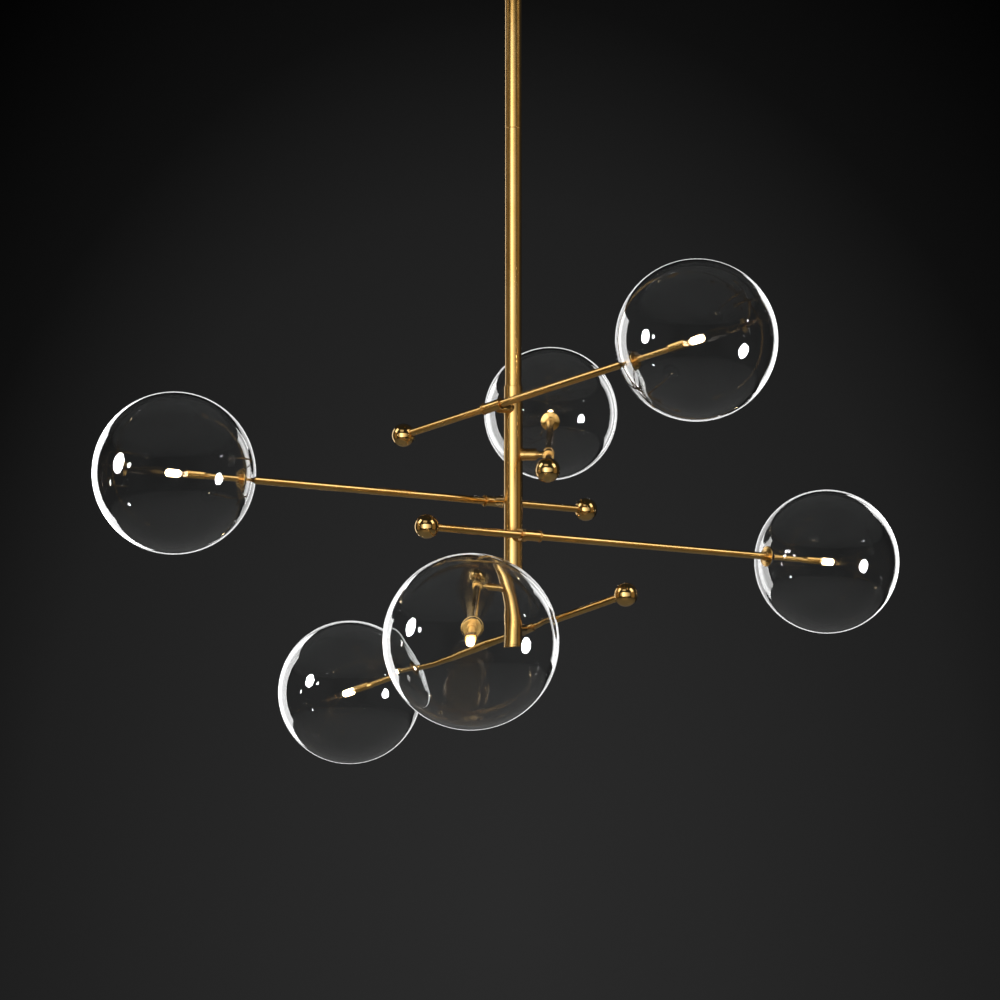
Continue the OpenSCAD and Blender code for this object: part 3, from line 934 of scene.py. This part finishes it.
# ---------------------------------------------------------------- light

TARGET = Vector((0, 0, -0.88))
WHITE = (1.0, 1.0, 1.0)
WARM = (1.0, 0.72, 0.38)

# A lamp's watts for each unit of strength and each square metre of its width by its height
LAMP_WATTS = 4


def group(name, things):
    """Collection that holds things for light linking alone."""
    made = bpy.data.collections.new(name)
    for thing in things:
        made.objects.link(thing)
    return made


def without(*groups):
    """Collection that stands for everything but these groups in a lamp's light linking."""
    name = "all_but_" + "_and_".join(things.name for things in groups)
    others = group(name, [thing for things in groups for thing in things.objects])
    for member in others.collection_objects:
        member.light_linking.link_state = "EXCLUDE"
    return others


def shine(lamp, lit, shading=None):
    """Hide a lamp itself, and light some things alone with it.

    Everything casts its shadows, or only what is in the shading collection.
    """
    lamp.visible_camera = False
    lamp.light_linking.receiver_collection = lit
    if shading:
        lamp.light_linking.blocker_collection = shading


def softbox(name, bearing, rise, distance, width, height, strength, tint=WHITE, roll=0,
            shape="RECTANGLE", levels=None):
    """Flat lamp aimed at the object, with angles in degrees and lengths in metres.

    bearing is from the camera's side, positive to the right.
    """
    b, e = radians(bearing), radians(rise)
    direction = Vector((sin(b) * cos(e), -cos(b) * cos(e), sin(e)))
    data = bpy.data.lights.new(name, "AREA")
    data.shape = shape
    data.size = width
    data.size_y = height
    data.energy = strength * LAMP_WATTS * width * height
    data.color = tint
    if levels:
        fade(data, levels)
    lamp = in_scene(name, data)
    lamp.location = TARGET + direction * distance
    aim = direction.to_track_quat("Z", "Y").to_matrix() @ Matrix.Rotation(radians(roll), 3, "Z")
    lamp.rotation_euler = aim.to_euler()
    return lamp


def fade(data, levels):
    """Vary a lamp's strength across its width, from left to right as the camera sees it."""
    data.use_nodes = True
    nodes, links = data.node_tree.nodes, data.node_tree.links
    across = nodes.new("ShaderNodeNewGeometry").outputs["Parametric"]
    split = nodes.new("ShaderNodeSeparateXYZ")
    ramp = nodes.new("ShaderNodeValToRGB")
    fill(ramp, greys(levels))
    links.new(across, split.inputs[0])
    links.new(split.outputs["X"], ramp.inputs[0])
    links.new(ramp.outputs[0], nodes["Emission"].inputs["Strength"])


def air():
    """Faint even light from all sides."""
    world = bpy.data.worlds.new("studio_air")
    world.use_nodes = True
    background = world.node_tree.nodes["Background"]
    background.inputs["Color"].default_value = (0.55, 0.56, 0.58, 1)
    background.inputs["Strength"].default_value = 0.04
    scene.world = world


def light_metal(metalwork):
    """Lamps for all but the clear glass and the stage, which cast none of their shadows."""
    face = [(0.0, 0.05), (0.12, 0.09), (0.22, 0.2), (0.29, 0.5), (0.35, 0.95), (0.43, 1.0),
            (0.47, 0.6), (0.56, 0.38), (0.65, 0.27), (0.74, 0.17), (0.85, 0.1), (1.0, 0.06)]
    lamps = [
        softbox("front_wall", -6, 4, 2.7, 6.4, 1.9, 2.7, levels=face),
        softbox("fill_left", -82, 4, 2.6, 1.4, 2.4, 0.13, WARM),
        softbox("fill_right", 72, 4, 2.6, 1.8, 2.4, 0.14, WARM),
        softbox("rim_left", -132, 2, 2.6, 0.9, 2.6, 0.9),
        softbox("high_front", -20, 46, 2.8, 1.6, 0.9, 0.5),
        softbox("high_left", -85, 37, 5.0, 2.1, 2.5, 1.7),
        softbox("high_right", 72, 37, 5.0, 2.1, 2.5, 1.7),
        softbox("low_front", -10, -38, 2.6, 2.6, 1.0, 0.07, WARM)
    ]
    for lamp in lamps:
        shine(lamp, metalwork, metalwork)


def light_glass(glass):
    """Lamps for the clear glass alone: window-like glints on both sides and bright edges."""
    left_edge = [(0.0, 0.35), (0.3, 1.0), (0.6, 0.55), (1.0, 0.9)]
    right_edge = [(0.0, 0.4), (0.4, 1.0), (0.7, 0.3), (1.0, 0.7)]
    lamps = [
        softbox("glass_side", -73, 9, 2.2, 0.58, 0.66, 46.0, roll=-14, shape="ELLIPSE"),
        softbox("glass_glint_near", -58, 8, 2.2, 0.17, 0.19, 30.0, shape="ELLIPSE"),
        softbox("glass_glint_low", -69, -27, 2.2, 0.13, 0.12, 26.0, shape="ELLIPSE"),
        softbox("glass_glint_far", -86, -6, 2.2, 0.09, 0.2, 20.0, roll=-10, shape="ELLIPSE"),
        softbox("glass_right", 63, -7, 2.2, 0.54, 0.6, 46.0, roll=-14, shape="ELLIPSE"),
        softbox("glass_right_glint", 70, 22, 2.2, 0.09, 0.08, 26.0, shape="ELLIPSE"),
        softbox("glass_rim_left", -138, -3, 3.0, 2.0, 2.8, 6.0, levels=left_edge),
        softbox("glass_rim_right", 142, 6, 3.2, 1.5, 2.6, 4.6, levels=right_edge),
        softbox("glass_back", 180, 0, 4.6, 5.4, 3.6, 1.3)
    ]
    for lamp in lamps:
        shine(lamp, glass)
        # They show on the glass's outside, and not through it
        lamp.visible_transmission = False


def light_stage(stage):
    """Lamp for the floor alone, which no piece mirrors."""
    lamp = softbox("floor_light", 0, 89, 3.0, 2.0, 2.0, 3.2)
    shine(lamp, stage)
    lamp.visible_glossy = False


# ---------------------------------------------------------------- the whole

scene.view_settings.view_transform = "Standard"
camera()
stage = group("stage", [studio()])
tube("upper_downrod", ROD_R, bottom_fillet=0.4, top_fillet=0.4)
tube("lower_downrod", ROD_R, bottom_fillet=0.4, top_fillet=0.4)
tube("stem", STEM_R, bottom_fillet=0.2, top_fillet=0.6)
stem_end()
canopy()
canopy_collar()
thumb_screws()
driver()
dress(["ceiling_bracket", "rod_nipples", "friction_washers"], STEEL)
dress(["leads"], SLEEVE)
glass_pieces = []
bulb_lights = []
for joint in frame["joints"]:
    arm = Arm(joint)
    post(arm)
    tee(arm)
    rod(arm)
    ball(arm)
    cap(arm)
    lamp_holder(arm)
    glass_pieces.append(bulb(arm))
    bulb_lights.append(bulb_light(arm))
    glass_pieces.append(globe(arm))
glass = group("clear_glass", glass_pieces)
all_but_glass = without(glass)
for lamp in bulb_lights:
    shine(lamp, all_but_glass, all_but_glass)
air()
light_metal(without(glass, stage))
light_glass(glass)
light_stage(stage)

boxes = {"cad": cad_box, "visual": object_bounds()}
{name: [list(corner) for corner in box] for name, box in boxes.items()}
